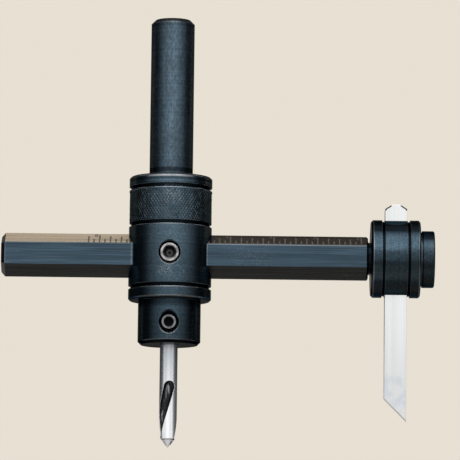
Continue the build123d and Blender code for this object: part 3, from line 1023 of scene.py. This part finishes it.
studioSettings = {
    "backdrop": (0.80, 0.745, 0.65),
    "floorDrop": -0.45,
    "floorRadius": 6.0,
    "floorCorners": 96,
    "floorPaper": (0.45, 0.42, 0.37),
    "floorGlow": 0.55,
    "floorFade": (0.6, 3.0),  # from paper near the tool to the backdrop's own tone
    "fill": (0.03, 0.031, 0.034),
    "sectors": [
        # degrees; azimuth 0 is the camera's side, minus is to its left
        {"azimuth": (-62, 64), "azimuthSoft": 46, "elevation": (-12, 82), "elevationSoft": 20,
         "light": (0.5, 0.5, 0.5), "bothSides": False},
        {"azimuth": (-27, 31), "azimuthSoft": 54, "elevation": (-12, 82), "elevationSoft": 20,
         "light": (0.55, 0.55, 0.55), "bothSides": False},
        {"azimuth": (-50, 50), "azimuthSoft": 50, "elevation": (34, 72), "elevationSoft": 30,
         "light": (1.9, 1.9, 1.9), "bothSides": False},
        {"azimuth": (82, 126), "azimuthSoft": 20, "elevation": (24, 52), "elevationSoft": 14,
         "light": (0.8, 0.8, 0.8), "bothSides": True},
        {"azimuth": (150, 200), "azimuthSoft": 30, "elevation": (-2, 38), "elevationSoft": 12,
         "light": (0.30, 0.28, 0.24), "bothSides": True},
        {"azimuth": (118, 200), "azimuthSoft": 30, "elevation": (44, 62), "elevationSoft": 14,
         "light": (0.30, 0.26, 0.22), "bothSides": True},
        # light for the back, the sides and the underside, mostly from where the front view mirrors nothing
        {"azimuth": (75, 200), "azimuthSoft": 40, "elevation": (-42, -13), "elevationSoft": 10,
         "light": (0.74, 0.74, 0.76), "bothSides": True},
        {"azimuth": (100, 200), "azimuthSoft": 40, "elevation": (68, 100), "elevationSoft": 12,
         "light": (0.30, 0.30, 0.30), "bothSides": True},
        {"azimuth": (-90, 90), "azimuthSoft": 60, "elevation": (-70, -16), "elevationSoft": 16,
         "light": (0.28, 0.24, 0.19), "bothSides": False},
        {"azimuth": (112, 200), "azimuthSoft": 60, "elevation": (-95, -46), "elevationSoft": 20,
         "light": (0.32, 0.19, 0.12), "bothSides": True},
        {"azimuth": (-1, 112), "azimuthSoft": 60, "elevation": (-95, -46), "elevationSoft": 20,
         "light": (0.24, 0.22, 0.21), "bothSides": True},
    ],
}


def makeWorld(settings):
    world = bpy.data.worlds.new("studio")
    bpy.context.scene.world = world
    world.use_nodes = True
    tree = world.node_tree
    tree.nodes.clear()
    axes = splitAxes(tree, addNode(tree, "ShaderNodeTexCoord").outputs["Generated"])
    azimuth = maths(tree, "DEGREES", maths(tree, "ARCTAN2", axes["X"], times(tree, axes["Y"], -1.0)))
    turned = maths(tree, "ABSOLUTE", azimuth)
    elevation = maths(tree, "DEGREES", maths(tree, "ARCSINE", axes["Z"]))

    def bandAcross(value, limits, soft):
        return placeGroup(tree, bandMask, {
            "Value": value, "Low": limits[0], "High": limits[1], "Soft": soft})["Mask"]

    light = settings["fill"]
    for sector in settings["sectors"]:
        sideways = turned if sector["bothSides"] else azimuth
        across = bandAcross(sideways, sector["azimuth"], sector["azimuthSoft"])
        upwards = bandAcross(elevation, sector["elevation"], sector["elevationSoft"])
        light = blendColours(tree, times(tree, across, upwards), light, sector["light"], "ADD")
    lamps = addNode(tree, "ShaderNodeBackground", {"Color": light}).outputs[0]
    pale = addNode(tree, "ShaderNodeBackground", {"Color": settings["backdrop"]}).outputs[0]
    seen = addNode(tree, "ShaderNodeLightPath").outputs["Is Camera Ray"]
    mixed = addNode(tree, "ShaderNodeMixShader", {0: seen, 1: lamps, 2: pale}).outputs[0]
    addNode(tree, "ShaderNodeOutputWorld", {"Surface": mixed})


def makeFloor(settings):
    bpy.ops.mesh.primitive_circle_add(
        vertices=settings["floorCorners"], radius=settings["floorRadius"], fill_type="NGON",
        location=(0, 0, settings["floorDrop"]))
    floor = bpy.context.object
    floor.name = "studio_floor"
    material = bpy.data.materials.new("floorPaper")
    material.use_nodes = True
    tree = material.node_tree
    tree.nodes.clear()

    def glow(strength):
        values = {"Color": settings["backdrop"], "Strength": strength}
        return addNode(tree, "ShaderNodeEmission", values).outputs[0]

    place = addNode(tree, "ShaderNodeTexCoord").outputs["Object"]
    away = ramp(tree, vectorMaths(tree, "LENGTH", place), *settings["floorFade"])
    paper = addNode(tree, "ShaderNodeBsdfDiffuse", {"Color": settings["floorPaper"]}).outputs[0]
    near = addNode(tree, "ShaderNodeAddShader", {0: paper, 1: glow(settings["floorGlow"])}).outputs[0]
    surface = addNode(tree, "ShaderNodeMixShader", {0: away, 1: near, 2: glow(1.0)}).outputs[0]
    clear = addNode(tree, "ShaderNodeBsdfTransparent").outputs[0]
    under = addNode(tree, "ShaderNodeNewGeometry").outputs["Backfacing"]
    final = addNode(tree, "ShaderNodeMixShader", {0: under, 1: surface, 2: clear}).outputs[0]
    addNode(tree, "ShaderNodeOutputMaterial", {"Surface": final})
    floor.data.materials.append(material)
    floor.visible_glossy = False
    floor.visible_shadow = False
    floor.visible_diffuse = False


spindlePieces = [nodes["shank"], nodes["body"], knurlBand]
beamPieces = [nodes["beam"], beamTicks, beamNumbers]
collarPieces, bitPieces, drillPieces = [nodes["tool_collar"]], [nodes["tool_bit"]], [nodes["pilot_drill"]]
cardSettings = [
    # a card over the beam's left half
    {"name": "beamCard", "centre": (-41, 90, 110), "aim": (-30, 0, -17.9), "size": (74, 60), "turn": "X",
     "light": (3.36, 2.94, 2.30), "for": beamPieces},
    # two cards that set where the light ends on the collar
    {"name": "collarCard", "centre": (66, -252, 112), "aim": (66, 0, -23), "size": (420, 96),
     "light": (1.6, 1.6, 1.6), "for": collarPieces},
    {"name": "collarCardLow", "centre": (66, -200, -223), "aim": (66, 0, -23), "size": (420, 240),
     "light": (0.26, 0.25, 0.23), "for": collarPieces},
    # warm cards that show on the grazing sides of the upright cylinders
    {"name": "rimCardLeft", "centre": (-302, 262, 44), "aim": (0, 0, -5), "size": (275, 150),
     "light": (0.26, 0.16, 0.10), "for": spindlePieces},
    {"name": "rimCardRight", "centre": (302, 262, 44), "aim": (0, 0, -5), "size": (275, 150),
     "light": (0.26, 0.16, 0.10), "for": spindlePieces},
    # a low card, mostly for views from above
    {"name": "lowCard", "centre": (0, -260, -150), "aim": (20, 0, -25), "size": (420, 130),
     "light": (0.8, 0.8, 0.8), "for": spindlePieces + beamPieces + bitPieces + drillPieces},
    # light on the tool bit's three other sides
    {"name": "bitCardRight", "centre": (260, 0, -60), "aim": (66, 0, -40), "size": (160, 200),
     "light": (0.42, 0.42, 0.42), "for": bitPieces},
    {"name": "bitCardLeft", "centre": (-120, -10, -110), "aim": (66, 0, -45), "size": (120, 200),
     "light": (0.42, 0.42, 0.42), "for": bitPieces},
    {"name": "bitCardBack", "centre": (66, 240, -100), "aim": (66, 0, -45), "size": (200, 160),
     "light": (0.42, 0.42, 0.42), "for": bitPieces},
    # tall cards that widen the bright band on the pilot drill, and one below its point
    {"name": "drillCardLeft", "centre": (-230, -135, -40), "aim": (0, 0, -62), "size": (110, 260),
     "light": (0.78, 0.80, 0.82), "for": drillPieces},
    {"name": "drillCardRight", "centre": (230, -150, -40), "aim": (0, 0, -62), "size": (110, 260),
     "light": (0.78, 0.80, 0.82), "for": drillPieces},
    {"name": "drillCardBelow", "centre": (0, -20, -230), "aim": (0, 0, -78), "size": (150, 150),
     "light": (0.35, 0.42, 0.47), "for": drillPieces},
]


def makeCard(settings):
    # an evenly lit card of the given brightness, which only the listed pieces see
    data = bpy.data.lights.new(settings["name"], "AREA")
    data.shape = "RECTANGLE"
    data.size, data.size_y = (side * mm for side in settings["size"])
    peak = max(settings["light"])
    data.color = tuple(part / peak for part in settings["light"])
    data.energy = peak * math.pi * data.size * data.size_y
    card = addObject(settings["name"], data)
    centre, aim = Vector(settings["centre"]) * mm, Vector(settings["aim"]) * mm
    facing = (aim - centre).to_track_quat("-Z", settings.get("turn", "Y"))
    card.matrix_world = Matrix.Translation(centre) @ facing.to_matrix().to_4x4()
    card.visible_camera = False
    lit = bpy.data.collections.new(settings["name"] + "For")
    for piece in settings["for"]:
        lit.objects.link(piece)
    card.light_linking.receiver_collection = lit


makeWorld(studioSettings)
makeFloor(studioSettings)
for card in cardSettings:
    makeCard(card)
bpy.context.scene.view_settings.view_transform = "Standard"
print("studio made")
